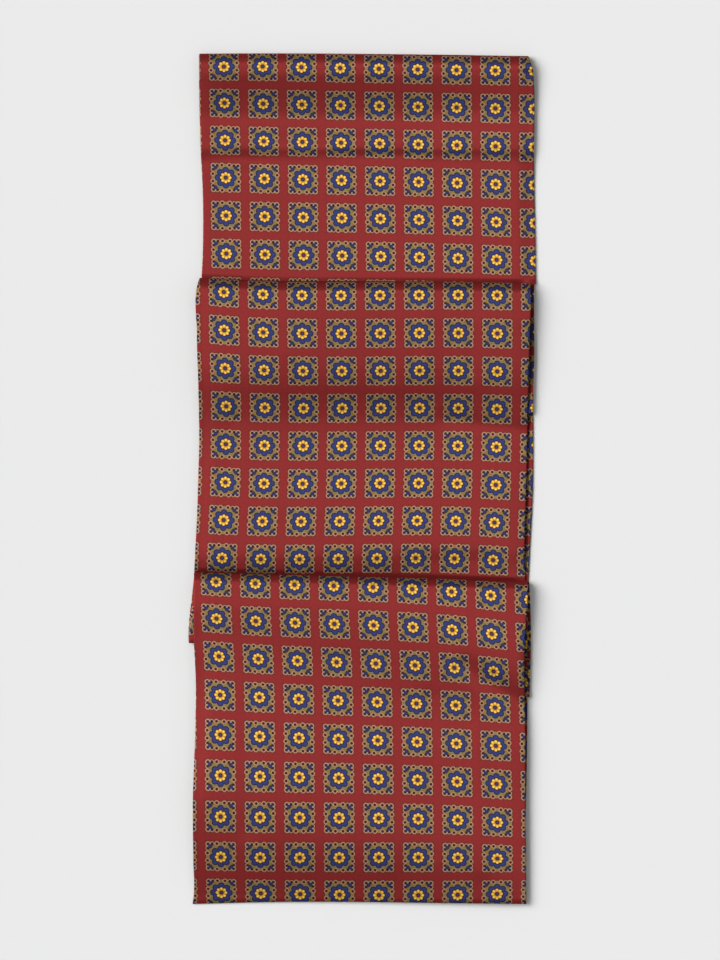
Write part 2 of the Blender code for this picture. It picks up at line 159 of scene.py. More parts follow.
# Side edges of each stretch: the three that show, the two tucks and the hidden half.
EDGES = {
    "top": (
        table(
            "from_top across",
            ((0, -147.2), (42, -146.8), (87, -145.6), (123, -143.8), (173, -143.6), (206, -145.0)),
        ),
        table(
            "from_top across",
            (
                (0, 149.2), (5, 150.5), (10, 151.9), (16, 153.5), (24, 154.1), (97, 154.3),
                (185, 155.8), (206, 156.0),
            ),
        ),
    ),
    "middle": (
        table(
            "from_top across",
            (
                (201, -146.4), (207, -148.2), (252, -149.0), (303, -147.6), (357, -146.9),
                (411, -148.7), (456, -150.9), (475, -151.8),
            ),
        ),
        table(
            "from_top across",
            (
                (201, 150.2), (210, 151.1), (258, 150.3), (312, 149.0), (384, 147.6),
                (456, 146.0), (475, 146.6),
            ),
        ),
    ),
    "bottom": (
        table(
            "from_top across",
            (
                (466, -151.6), (492, -151.7), (528, -151.6), (564, -150.0), (606, -150.4),
                (672, -152.6), (726, -152.2), (756, -151.8), (766, -153.0),
            ),
        ),
        table(
            "from_top across",
            (
                (466, 149.0), (490, 148.6), (504, 147.6), (526, 146.1), (573, 145.8),
                (592, 146.3), (672, 146.7), (766, 147.4),
            ),
        ),
    ),
    "upper_tuck": (
        table("from_top across", ((200, -143.8), (240, -145.6), (324, -145.2))),
        table(
            "from_top across",
            ((200, 154.9), (216, 154.5), (282, 154.4), (300, 153.7), (324, 153.1)),
        ),
    ),
    "lower_tuck_going": (
        table(
            "from_top across",
            ((466, -151.0), (486, -153.2), (505, -155.4), (521, -156.6), (532, -156.4)),
        ),
        table("from_top across", ((466, 149.5), (492, 150.9), (570, 150.6), (580, 150.2))),
    ),
    "lower_tuck_coming": (
        table(
            "from_top across",
            ((466, -149.5), (486, -152.0), (505, -154.2), (521, -155.8), (532, -156.4)),
        ),
        table("from_top across", ((466, 147.4), (492, 148.4), (570, 149.2), (580, 150.2))),
    ),
    "under": (
        table(
            "from_top across",
            (
                (0, -146.0), (42, -145.2), (123, -142.0), (206, -143.4), (303, -145.6),
                (456, -149.4), (606, -148.2), (700, -150.6), (766, -150.6),
            ),
        ),
        table(
            "from_top across",
            (
                (0, 148.4), (24, 152.2), (80, 152.6), (112, 147.0), (192, 145.0), (216, 149.6),
                (258, 152.8), (330, 153.7), (402, 153.0), (443, 150.9), (478, 149.2),
                (500, 148.4), (584, 148.4), (636, 148.0), (708, 146.6), (766, 147.2),
            ),
        ),
    ),
}

# Height of the cloth's face along three lines of each stretch that shows.
RELIEF = {
    "top": table(
        "from_top left centre right",
        (
            (0, 9.0, 9.0, 9.0),
            (12, 9.0, 9.0, 9.0),
            (20, 8.6, 8.6, 8.7),
            (26, 7.8, 7.8, 8.3),
            (33, 6.8, 6.8, 7.7),
            (40, 5.8, 5.7, 7.1),
            (47, 4.9, 4.75, 6.5),
            (53, 4.25, 4.05, 6.0),
            (59, 4.0, 3.7, 5.8),
            (64, 4.1, 3.8, 5.7),
            (70, 4.4, 4.1, 5.8),
            (76, 4.8, 4.6, 5.9),
            (82, 5.1, 4.9, 6.0),
            (87, 5.1, 4.75, 5.9),
            (91, 4.6, 4.1, 5.3),
            (96, 4.1, 3.75, 4.75),
            (106, 4.3, 3.75, 4.6),
            (150, 4.0, 3.8, 4.5),
            (206, 4.0, 3.9, 4.4),
        ),
    ),
    "middle": table(
        "from_top left centre right",
        (
            (201, 12.7, 12.8, 12.4),
            (220, 12.9, 13.0, 12.5),
            (242, 12.9, 12.9, 12.4),
            (256, 12.7, 12.5, 11.9),
            (271, 12.4, 12.0, 11.3),
            (285, 11.9, 11.3, 10.7),
            (299, 10.9, 9.9, 9.6),
            (313, 9.5, 7.8, 8.1),
            (328, 8.1, 6.1, 6.5),
            (342, 7.2, 5.5, 5.5),
            (354, 6.8, 5.4, 5.1),
            (366, 6.7, 5.6, 5.1),
            (400, 7.2, 6.4, 5.6),
            (440, 7.9, 7.3, 6.3),
            (447, 7.95, 7.3, 6.25),
            (452, 7.8, 7.1, 5.95),
            (456, 7.5, 6.75, 5.6),
            (460, 7.0, 6.25, 5.3),
            (464, 6.4, 5.7, 5.05),
            (468, 5.6, 5.1, 4.9),
            (475, 4.9, 4.6, 4.8),
        ),
    ),
    "bottom": table(
        "from_top left centre right",
        (
            (466, 11.8, 12.8, 12.7),
            (484, 12.0, 13.0, 13.1),
            (498, 12.2, 13.2, 13.3),
            (510, 11.7, 13.0, 13.3),
            (523, 11.0, 12.6, 13.2),
            (537, 10.5, 12.0, 12.8),
            (552, 10.1, 11.3, 11.8),
            (566, 10.0, 10.8, 10.2),
            (580, 10.0, 10.4, 8.7),
            (595, 10.2, 10.3, 7.9),
            (624, 10.7, 10.5, 8.3),
            (652, 11.0, 10.5, 8.1),
            (667, 10.9, 10.5, 7.9),
            (681, 10.3, 10.4, 7.8),
            (696, 9.3, 10.2, 7.7),
            (710, 8.1, 9.8, 7.6),
            (724, 6.7, 8.9, 7.5),
            (738, 5.1, 7.4, 7.4),
            (750, 3.6, 5.8, 7.2),
            (760, 2.4, 4.6, 7.0),
            (766, 2.1, 4.2, 6.8),
        ),
    ),
}

# How far each stretch's side edges lie below (or above) the cloth beside them.
SIDE_REACH = 17.0
SIDE_DROP = {
    "top": table(
        "from_top left right",
        (
            (0, 0, 0.4), (20, 0, 1.0), (50, -1.2, 1.0), (62, -1.2, 0.8), (90, -0.5, 1.2),
            (112, 0, 2.2), (190, 0, 2.2), (206, 0, 2.2),
        ),
    ),
    "middle": table(
        "from_top left right",
        (
            (201, 0.8, 0.6), (260, 0.8, 0.8), (320, 0.8, 0.6), (360, 1.0, 0.6),
            (430, 1.2, 1.0), (475, 1.2, 1.0),
        ),
    ),
    "bottom": table(
        "from_top left right",
        (
            (466, 0.6, 0.4), (540, 1.2, 0.4), (580, 2.2, 0.2), (640, 1.4, 0.5), (680, 0.4, 0.5),
            (720, 0, 0.5), (766, 0, 0.3),
        ),
    ),
}

# Soft creases: a line from one place to another, its half-width and its rise.
CREASES = {
    "top": table(
        "across from_top to_across to_from_top half_width rise",
        (
            (-114, 93, -96, 95, 12, -0.8),
            (-20, 92, 40, 91, 7, -0.4),
            (-124, 112, -123, 168, 8, -0.4),
            (78, 66, 140, 70, 9, 0.5),
        ),
    ),
    "middle": table(
        "across from_top to_across to_from_top half_width rise",
        (
            (22, 222, 24, 290, 7, -0.4),
            (60, 216, 58, 280, 7, 0.4),
            (98, 224, 99, 285, 7, -0.4),
            (-118, 332, -122, 380, 9, -0.5),
            (44, 457, 110, 455, 8, -0.5),
            (-66, 214, -68, 270, 9, 0.3),
            (75, 330, 146, 339, 8, -0.6),
            (-100, 405, -40, 410, 13, 0.4),
        ),
    ),
    "bottom": table(
        "across from_top to_across to_from_top half_width rise",
        (
            (-101, 520, -104, 700, 8, -0.4),
            (-62, 560, -60, 690, 9, 0.3),
            (-22, 545, -20, 660, 8, -0.3),
            (18, 600, 22, 730, 8, 0.3),
            (60, 580, 62, 720, 8, -0.3),
            (104, 610, 106, 735, 8, 0.4),
            (92, 552, 146, 586, 9, -1.1),
        ),
    ),
}

# The print: where each row of flowers lies from the top, at its columns 1, 3, 6 and
# 8, as the camera sees it, and where its first and last columns lie across. Rows
# that lie evenly between their neighbours are left out. These are measurements that
# a program made of the photograph, entered nearly as it gave them, and no design.
ROW_PITCH = 34.2
COLUMN_PITCH = 35.0
FIRST_COLUMN = 1.0
LAST_COLUMN = 8.0
PRINT_PLACES = (1.0, 3.0, 6.0, 8.0)
CURVED_COLUMNS = (0.4, 8.6)
PRINT_ROWS = {
    "top": table(
        "row at_1 at_3 at_6 at_8 first last",
        (
            (0, 10.5, 12.4, 14.4, 15.4, -124.7, 119.4),
            (1, 44.5, 46.0, 48.0, 49.5, -124.2, 119.5),
            (3, 111.8, 113.4, 115.6, 117.7, -123.0, 119.8),
            (5, 180.2, 181.5, 183.4, 185.7, -122.5, 120.7),
        ),
    ),
    "middle": table(
        "row at_1 at_3 at_6 at_8 first last",
        (
            (0, 214.8, 217.7, 217.4, 217.6, -124.7, 121.0),
            (1, 249.1, 252.0, 251.6, 252.1, -124.4, 121.3),
            (3, 317.6, 319.3, 319.1, 320.1, -122.6, 121.0),
            (5, 385.9, 387.3, 386.7, 388.3, -123.3, 120.0),
            (7, 454.1, 455.2, 454.2, 456.0, -126.4, 117.5),
        ),
    ),
    "bottom": table(
        "row at_1 at_3 at_6 at_8 first last",
        (
            (0, 475.9, 478.4, 482.4, 488.6, -131.7, 115.2),
            (1, 509.0, 512.5, 516.6, 522.9, -131.3, 115.4),
            (2, 542.9, 546.7, 550.9, 556.3, -129.0, 117.3),
            (3, 577.6, 581.1, 585.2, 588.8, -128.0, 119.0),
            (4, 613.3, 616.0, 619.6, 623.2, -127.8, 119.7),
            (5, 649.8, 651.4, 653.9, 657.4, -127.7, 120.4),
            (6, 686.9, 687.8, 688.9, 692.0, -127.6, 121.2),
            (7, 723.4, 724.0, 723.6, 724.6, -127.5, 121.3),
            (8, 755.2, 756.6, 757.6, 756.4, -126.9, 121.0),
        ),
    ),
    "under": table(
        "row at_1 first last",
        ((0, 216.4, -129.2, 115.8), (4, 352.4, -129.7, 115.3), (7, 455.9, -136.9, 108.1)),
    ),
}

# A flower on the right side edge of each hidden layer: its distance from the top.
UPPER_TUCK_FLOWER = 216.5
LOWER_TUCK_FLOWER = 498.0
UNDER_FLOWER = 352.6


def smooth_curve(places, values, at):
    """Read a smooth curve through a table's values (cubic Hermite)."""
    slopes = np.gradient(values, places)
    at = np.clip(at, places[0], places[-1])
    index = np.clip(np.searchsorted(places, at, side="right") - 1, 0, len(places) - 2)
    width = places[index + 1] - places[index]
    part = (at - places[index]) / width
    start = (1 + 2 * part) * (1 - part) ** 2 * values[index]
    start += part * (1 - part) ** 2 * width * slopes[index]
    finish = part**2 * (3 - 2 * part) * values[index + 1]
    finish += part**2 * (part - 1) * width * slopes[index + 1]
    return start + finish


def line(name, across):
    """Distance of a fold line or an end from the top, at a place across."""
    return smooth_curve(LINES["across"], LINES[name], np.asarray(across, dtype=float))


def edge(side, from_top):
    """Place across of a side edge, at a distance from the top."""
    return smooth_curve(side["from_top"], side["across"], np.asarray(from_top, dtype=float))


def ease(part):
    """A soft step from 0 to 1."""
    part = np.clip(part, 0.0, 1.0)
    return part * part * (3.0 - 2.0 * part)


def creases(stretch, from_top, across):
    """Rise or fall of a stretch's soft creases."""
    height = 0.0
    rows = CREASES[stretch]
    for start_x, start_y, end_x, end_y, half_width, rise in zip(*rows.values()):
        run_x, run_y = end_x - start_x, end_y - start_y
        share = (across - start_x) * run_x + (from_top - start_y) * run_y
        share = np.clip(share / (run_x**2 + run_y**2), 0.0, 1.0)
        away = np.hypot(across - start_x - share * run_x, from_top - start_y - share * run_y)
        height = height + rise * np.exp(-((away / half_width) ** 2))
    return height


def side_fall(stretch, from_top, across):
    """How far a stretch falls towards its two side edges."""
    drop = SIDE_DROP[stretch]
    fall = 0.0
    for number, side in enumerate(("left", "right")):
        depth = smooth_curve(drop["from_top"], drop[side], from_top)
        away = np.abs(edge(EDGES[stretch][number], from_top) - across)
        fall = fall + depth * ease(1.0 - away / SIDE_REACH)
    return fall


def body_height(stretch, from_top, across):
    """Height of a stretch's face between its crest and its tuck."""
    relief = RELIEF[stretch]
    from_top = from_top + 0.0 * across
    left = smooth_curve(relief["from_top"], relief["left"], from_top)
    centre = smooth_curve(relief["from_top"], relief["centre"], from_top)
    right = smooth_curve(relief["from_top"], relief["right"], from_top)
    side = np.clip(across / HALF_WIDTH, -1.0, 1.0)
    even = (left + right) / 2.0 - centre
    height = centre + side * (right - left) / 2.0 + side**2 * even
    return height + creases(stretch, from_top, across) - side_fall(stretch, from_top, across)


def crest_length(stretch, across):
    """How far a stretch takes to rise out of the tuck above it."""
    if stretch == "middle":
        return MIDDLE_CREST + 0.0 * across
    share = (across + HALF_WIDTH) / (2.0 * HALF_WIDTH)
    return BOTTOM_CREST_LEFT + (BOTTOM_CREST_RIGHT - BOTTOM_CREST_LEFT) * share


def tuck_length(stretch, across):
    """How far a stretch takes to sink into the tuck below it."""
    if stretch == "top":
        return TOP_TUCK + 0.0 * across
    turn = np.tanh((across - MIDDLE_TUCK_TURN) / MIDDLE_TUCK_TURN_WIDTH)
    return MIDDLE_TUCK_LEFT + (MIDDLE_TUCK_RIGHT - MIDDLE_TUCK_LEFT) * (1.0 + turn) / 2.0


# ------------------------------------------------------------- stations of the path
# A station is a function of the place across. It gives the distance from the top,
# the height and the thickness of the cloth, measured at its face where the cloth
# shows and at its middle where it is hidden.


def top_fold_stations():
    """Round the top fold, from underneath to the face."""
    radius = TOP_FOLD_HEIGHT / 2.0
    straight = TOP_FOLD_RETURN - radius
    profile = [(share * straight + radius, 0.0) for share in TOP_FOLD_UNDER]
    for step in range(TOP_FOLD_STEPS + 1):
        angle = math.pi * step / TOP_FOLD_STEPS
        reach = radius if angle < math.pi / 2.0 else TOP_FOLD_REACH
        profile.append((reach - reach * math.sin(angle), radius - radius * math.cos(angle)))
    stations = []
    for away, height in profile:

        def station(x, away=away, height=height):
            return line("top_fold", x) + away, height + 0.0 * x, SOFT

        stations.append(station)
    return stations


def body_stations(stretch, start, finish):
    """Evenly spaced stations along a stretch's body."""
    count = round(float(finish(0.0) - start(0.0)) / SPACING)
    stations = []
    for step in range(count + 1):

        def station(x, share=step / count):
            from_top = start(x) + (finish(x) - start(x)) * share
            return from_top, body_height(stretch, from_top, x), SOFT

        stations.append(station)
    return stations


def tuck_stations(stretch, line_name):
    """Down into a tuck: the face eases from its body to the layer going under."""
    floor = GOING_HEIGHT + TUCKED / 2.0
    stations = []
    for share in np.linspace(0.0, 1.0, TUCK_STEPS + 1)[1:]:

        def station(x, share=share):
            length = tuck_length(stretch, x)
            from_top = line(line_name, x) - length + (length + TUCK_MOUTH) * share
            body = body_height(stretch, from_top, x)
            fall = ease(share) ** TUCK_EASE
            return from_top, body + (floor - body) * fall, SOFT + (TUCKED - SOFT) * fall

        stations.append(station)
    return stations


def crest_stations(stretch, line_name):
    """Out of a tuck: round the nose of a crest and up its soft slope."""
    under = COMING_HEIGHT - TUCKED / 2.0
    stations = []
    for away in CREST_LEAD_IN:

        def lead_in(x, away=away):
            return line(line_name, x) + away, under + 0.0 * x, TUCKED + 0.0 * x

        stations.append(lead_in)
    for step in range(NOSE_STEPS):
        angle = math.pi / 2.0 * step / NOSE_STEPS

        def nose(x, angle=angle):
            away = CREST_GAP + NOSE_ROUND * (1.0 - math.sin(angle))
            height = under + NOSE_ROUND * (1.0 - math.cos(angle))
            return line(line_name, x) + away, height + 0.0 * x, TUCKED + 0.0 * x

        stations.append(nose)
    for step in range(SLOPE_STEPS + 1):
        angle = math.pi / 2.0 * step / SLOPE_STEPS

        def slope(x, angle=angle):
            away = CREST_GAP + crest_length(stretch, x) * (1.0 - math.cos(angle))
            from_top = line(line_name, x) + away
            body = body_height(stretch, from_top, x)
            foot = under + NOSE_ROUND
            rise = math.sin(angle)
            return from_top, foot + (body - foot) * rise, TUCKED + (SOFT - TUCKED) * rise

        stations.append(slope)
    return stations


def hidden_tuck_stations(line_name, fold_name):
    """Under the next stretch to the tuck's lower fold, round it and back."""
    turn = (COMING_HEIGHT - GOING_HEIGHT) / 2.0
    stations = []
    for share in np.linspace(0.0, 1.0, LAYER_STATIONS):

        def going(x, share=share):
            start = line(line_name, x) + TUCK_MOUTH
            finish = line(fold_name, x) - turn
            return start + (finish - start) * share, GOING_HEIGHT + 0.0 * x, TUCKED

        stations.append(going)
    for step in range(1, LOWER_FOLD_STEPS):
        angle = math.pi * step / LOWER_FOLD_STEPS

        def fold(x, angle=angle):
            from_top = line(fold_name, x) - turn + turn * math.sin(angle)
            return from_top, GOING_HEIGHT + turn - turn * math.cos(angle) + 0.0 * x, TUCKED

        stations.append(fold)
    for share in np.linspace(0.0, 1.0, LAYER_STATIONS):

        def coming(x, share=share):
            start = line(fold_name, x) - turn
            finish = line(line_name, x) + TUCK_DEPTH
            return start + (finish - start) * share, COMING_HEIGHT + 0.0 * x, TUCKED

        stations.append(coming)
    return stations


def under_stations():
    """The hidden half, from its hem on the table to just under the top fold."""
    stations = []
    for step in range(UNDER_STEPS + 1):

        def station(x, share=step / UNDER_STEPS):
            start = line("under_end", x)
            finish = line("top_fold", x) + TOP_FOLD_RETURN
            return start + (finish - start) * share, UNDER_HEIGHT + 0.0 * x, SOFT

        stations.append(station)
    return stations


# ------------------------------------------------------------------ making the cloth
def column_places(first, last):
    """Places across a station: close together round its soft edges."""
    near = np.array(EDGE_STEPS) * EDGE_ROUND
    inner = np.linspace(first + EDGE_ROUND, last - EDGE_ROUND, ACROSS_COLUMNS)
    return np.concatenate((first + near, inner, (last - near)[::-1]))


def edge_share(places):
    """Share of the cloth's thickness at each place: round at both edges."""
    distance = np.minimum(places - places[0], places[-1] - places)
    part = np.clip(distance / EDGE_ROUND, 0.0, 1.0)
    return np.sqrt(1.0 - (1.0 - part) ** 2)


def lay_out(stations, sides):
    """Place every station's points: arrays of across, from top, height, thickness."""
    rows = []
    for number, station in enumerate(stations):
        left, right = sides(number)
        ends = station(np.array([-HALF_WIDTH, HALF_WIDTH]))[0]
        across = column_places(float(edge(left, ends[0])), float(edge(right, ends[1])))
        from_top, height, thick = station(across)
        thick = thick * edge_share(across)
        rows.append((across, from_top, height + 0.0 * across, thick))
    return [np.array(values) for values in zip(*rows)]


def path_length(from_top, height):
    """Length along the cloth at every point, from the first station."""
    steps = np.hypot(np.diff(from_top, axis=0), np.diff(height, axis=0))
    return np.vstack((np.zeros(from_top.shape[1]), np.cumsum(steps, axis=0)))


def seen_from_above(from_top, height):
    """Where the camera sees a point that lies above the table."""
    centre = HALF_LENGTH - VIEW_Y / MM
    return centre + (from_top - centre) * (1.0 + height * MM / CAMERA_HEIGHT)


def print_rows(rows, columns, from_top, height, length, first_seen):
    """The print's row at every point, read along the cloth.

    A cubic through the table's four places says where the camera sees each row of
    flowers in a column of points. Only the stations from the first one that can be
    seen are asked for it. Before the table's first row and after its last, the rows
    keep their pitch.
    """
    places = np.stack([rows["at_%d" % place] for place in PRINT_PLACES])
    bends = np.polyfit(PRINT_PLACES, places, 3)
    seen = seen_from_above(from_top, height)
    numbers = rows["row"]
    result = np.empty_like(from_top)
    for column in range(from_top.shape[1]):
        place = np.clip(columns[-1, column], *CURVED_COLUMNS)
        at = bends[0] * place**3 + bends[1] * place**2 + bends[2] * place + bends[3]
        here = length[:, column]
        along = np.interp(at, seen[first_seen:, column], here[first_seen:])
        number = np.interp(here, along, numbers)
        before = numbers[0] - (along[0] - here) / ROW_PITCH
        after = numbers[-1] + (here - along[-1]) / ROW_PITCH
        number = np.where(here < along[0], before, number)
        result[:, column] = np.where(here > along[-1], after, number)
    return result


def print_columns(rows, across, from_top):
    """The print's column at every point."""
    first = np.interp(from_top, rows["at_1"], rows["first"])
    last = np.interp(from_top, rows["at_1"], rows["last"])
    share = (across - first) / (last - first)
    return FIRST_COLUMN + (LAST_COLUMN - FIRST_COLUMN) * share


def grid_corners(values, turned):
    """The four corners of each of a grid's squares, turned for the cloth's back."""
    corners = (values[:-1, :-1], values[1:, :-1], values[1:, 1:], values[:-1, 1:])
    return corners[::-1] if turned else corners


def quads(index, turned):
    """A grid's squares as faces."""
    return np.stack(grid_corners(index, turned), axis=-1).reshape(-1, 4)


def corner_values(values, turned):
    """A grid's values at the corners of its faces."""
    return np.stack(grid_corners(values, turned), axis=2).reshape(-1, values.shape[2])


def cloth_surfaces(layout, face_is_path, closed_end):
    """The upper and lower surface of a flat tube, in metres."""
    across, from_top, height, thick = layout
    path = np.stack((across, HALF_LENGTH - from_top, height), axis=2)
    normals = np.cross(np.gradient(path, axis=0), np.gradient(path, axis=1))
    normals /= np.linalg.norm(normals, axis=2)[:, :, None]
    half = thick[:, :, None] / 2.0
    full = np.max(thick, axis=1)[:, None, None] / 2.0
    middle = path - normals * full if face_is_path else path
    if closed_end is not None:
        order = np.arange(path.shape[0])
        reach = np.abs(order - (0 if closed_end == "first" else path.shape[0] - 1))
        part = np.clip(reach / END_ROUND_STEPS, 0.0, 1.0)
        half = half * np.sqrt(1.0 - (1.0 - part) ** 2)[:, None, None]
    return (middle + normals * half) * MM, (middle - normals * half) * MM


def add_print(mesh, columns, rows):
    """The print's coordinates: a whole number of columns and rows at each flower.

    The back's columns run on round each side edge and meet at the seam.
    """
    count_rows, count_columns = columns.shape
    seam = count_columns // 2
    front = np.stack((columns, rows), axis=2)
    around_left = np.stack((2.0 * columns[:, :1] - columns, rows), axis=2)
    around_right = np.stack((2.0 * columns[:, -1:] - columns, rows), axis=2)
    left = corner_values(around_left[:, : seam + 1], True)
    left = left.reshape(count_rows - 1, seam, 4, 2)
    right = corner_values(around_right[:, seam:], True)
    right = right.reshape(count_rows - 1, count_columns - 1 - seam, 4, 2)
    back = np.concatenate((left, right), axis=1).reshape(-1, 2)
    layer = mesh.uv_layers.new(name="print")
    layer.uv.foreach_set("vector", np.vstack((corner_values(front, False), back)).ravel())


def add_bake_layout(mesh, wide, down):
    """Front and back side by side, for anyone who bakes the print."""
    size = max(2.0 * wide.max() + 3.0 * BAKE_GAP, down.max() + 2.0 * BAKE_GAP)
    front = np.stack((wide + BAKE_GAP, down + BAKE_GAP), axis=2) / size
    back = np.stack((wide + wide.max() + 2.0 * BAKE_GAP, down + BAKE_GAP), axis=2) / size
    layer = mesh.uv_layers.new(name="OFBake")
    both = np.vstack((corner_values(front, False), corner_values(back, True)))
    layer.uv.foreach_set("vector", both.ravel())


def cloth_mesh(name, layout, face_is_path, columns, rows, closed_end=None):
    """Make a flat tube from its laid-out path and its print coordinates."""
    across, from_top, height, _ = layout
    upper, lower = cloth_surfaces(layout, face_is_path, closed_end)
    count_rows, count_columns = from_top.shape
    grid = np.arange(count_rows * count_columns).reshape(count_rows, count_columns)
    inner = count_columns - 2
    back = grid.size + np.arange(count_rows * inner).reshape(count_rows, inner)
    back = np.hstack((grid[:, :1], back, grid[:, -1:]))
    points = np.vstack((upper.reshape(-1, 3), lower[:, 1:-1].reshape(-1, 3)))
    faces = np.vstack((quads(grid, False), quads(back, True)))

    mesh = bpy.data.meshes.new(name)
    mesh.vertices.add(len(points))
    mesh.vertices.foreach_set("co", points.ravel())
    mesh.loops.add(faces.size)
    mesh.loops.foreach_set("vertex_index", faces.ravel())
    mesh.polygons.add(len(faces))
    mesh.polygons.foreach_set("loop_start", np.arange(len(faces)) * 4)
    mesh.update(calc_edges=True)

    add_print(mesh, columns, rows)
    down = path_length(from_top, height) if face_is_path else from_top - from_top.min()
    add_bake_layout(mesh, across - across.min(), down)
    mesh.uv_layers.active = mesh.uv_layers["print"]
    mesh.shade_smooth()
    mesh.validate()

    piece = bpy.data.objects.new(name, mesh)
    bpy.context.scene.collection.objects.link(piece)
    return piece


# ------------------------------------------------------------------------- the silk
class Graph:
    """Short helpers for building a material's nodes."""

    def __init__(self, tree):
        self.tree = tree

    def node(self, kind, **settings):
        made = self.tree.nodes.new(kind)
        for name, value in settings.items():
            setattr(made, name, value)
        return made

    def feed(self, socket, value):
        if isinstance(value, bpy.types.NodeSocket):
            self.tree.links.new(value, socket)
        else:
            socket.default_value = value

    def maths(self, operation, *values, clamp=False):
        made = self.node("ShaderNodeMath", operation=operation, use_clamp=clamp)
        for socket, value in zip(made.inputs, values):
            self.feed(socket, value)
        return made.outputs[0]

    def vectors(self, operation, *values):
        made = self.node("ShaderNodeVectorMath", operation=operation)
        for socket, value in zip(made.inputs, values):
            self.feed(socket, value)
        return made.outputs[0]

    def scaled(self, vector, scale):
        made = self.node("ShaderNodeVectorMath", operation="SCALE")
        self.feed(made.inputs[0], vector)
        self.feed(made.inputs["Scale"], scale)
        return made.outputs[0]

    def circle(self, place, x, y, radius):
        """Distance outside a circle, negative inside."""
        made = self.node("ShaderNodeVectorMath", operation="DISTANCE")
        self.feed(made.inputs[0], place)
        self.feed(made.inputs[1], (x, y, 0.0))
        return self.maths("SUBTRACT", made.outputs["Value"], radius)

    def nearest(self, *distances):
        result = distances[0]
        for distance in distances[1:]:
            result = self.maths("MINIMUM", result, distance)
        return result

    def inside(self, distance, softness):
        """1 inside a shape and 0 outside it, with a soft edge."""
        return self.maths("MULTIPLY_ADD", distance, -1.0 / softness, 0.5, clamp=True)

    def mix(self, factor, below, above):
        made = self.node("ShaderNodeMix", data_type="RGBA")
        self.feed(made.inputs[0], factor)
        self.feed(made.inputs[6], below)
        self.feed(made.inputs[7], above)
        return made.outputs[2]


def colour(red, green, blue):
    """A colour given as display values from 0 to 255."""
    linear = []
    for value in (red, green, blue):
        value = value / 255.0
        linear.append(value / 12.92 if value <= 0.04045 else ((value + 0.055) / 1.055) ** 2.4)
    return (*linear, 1.0)


GROUND = colour(124, 36, 36)
NAVY = colour(47, 52, 106)
DARK_LINE = colour(38, 29, 46)
OUTLINE = colour(115, 107, 77)
FIELD = colour(124, 97, 41)
BORDER = colour(157, 119, 92)
HALO = colour(98, 41, 33)
MAROON = colour(57, 20, 24)
PETAL = colour(175, 126, 27)
PETAL_TIP = colour(220, 186, 88)
CENTRE_RING = colour(63, 24, 29)
CORE = colour(61, 53, 106)
CORNER = colour(48, 42, 79)
CORNER_LOBE = colour(41, 29, 36)
CORNER_SPOT = colour(146, 128, 120)

# The medallion, in millimetres: half the width of its halo and square, the widths
# of its lines, and the rounds at the middle of its rosette and flower.
HALO_HALF = 14.3
SQUARE_HALF = 12.25
BORDER_LINE = 1.2
OUTLINE_LINE = 0.95
ROSETTE_LINE = 0.9
PETAL_LINE = 0.85
ROSETTE_ROUND = 8.0
FLOWER_ROUND = 3.9
RING_RADIUS = 2.0
CORE_RADIUS = 1.05

# Width of the soft edge between two colours, and of the softer ones.
SOFTNESS = 0.32
HALO_SOFTNESS = 0.9
TIP_SOFTNESS = 0.9
CORE_SOFTNESS = 0.6

# Added to the print's columns and rows, so that none is below zero and a flower
# lies in the middle of each tile.
PRINT_SHIFT = (100.5, 100.5, 0.0)
TILE_MIDDLE = (0.5, 0.5, 0.0)

# The grain's lie, its fineness along and across the slubs, and how far it darkens
# and lightens the print.
GRAIN_TURN = math.radians(35.0)
GRAIN_SCALE = (0.55, 1.1, 1.0)
GRAIN_RANGE = (0.25, 0.75)
GRAIN_SHADE = (0.86, 1.14)

# The twill's ridges: their fineness, strength and depth.
TWILL_SCALE = 0.45
TWILL_STRENGTH = 0.12
TWILL_DEPTH = 0.05 * MM


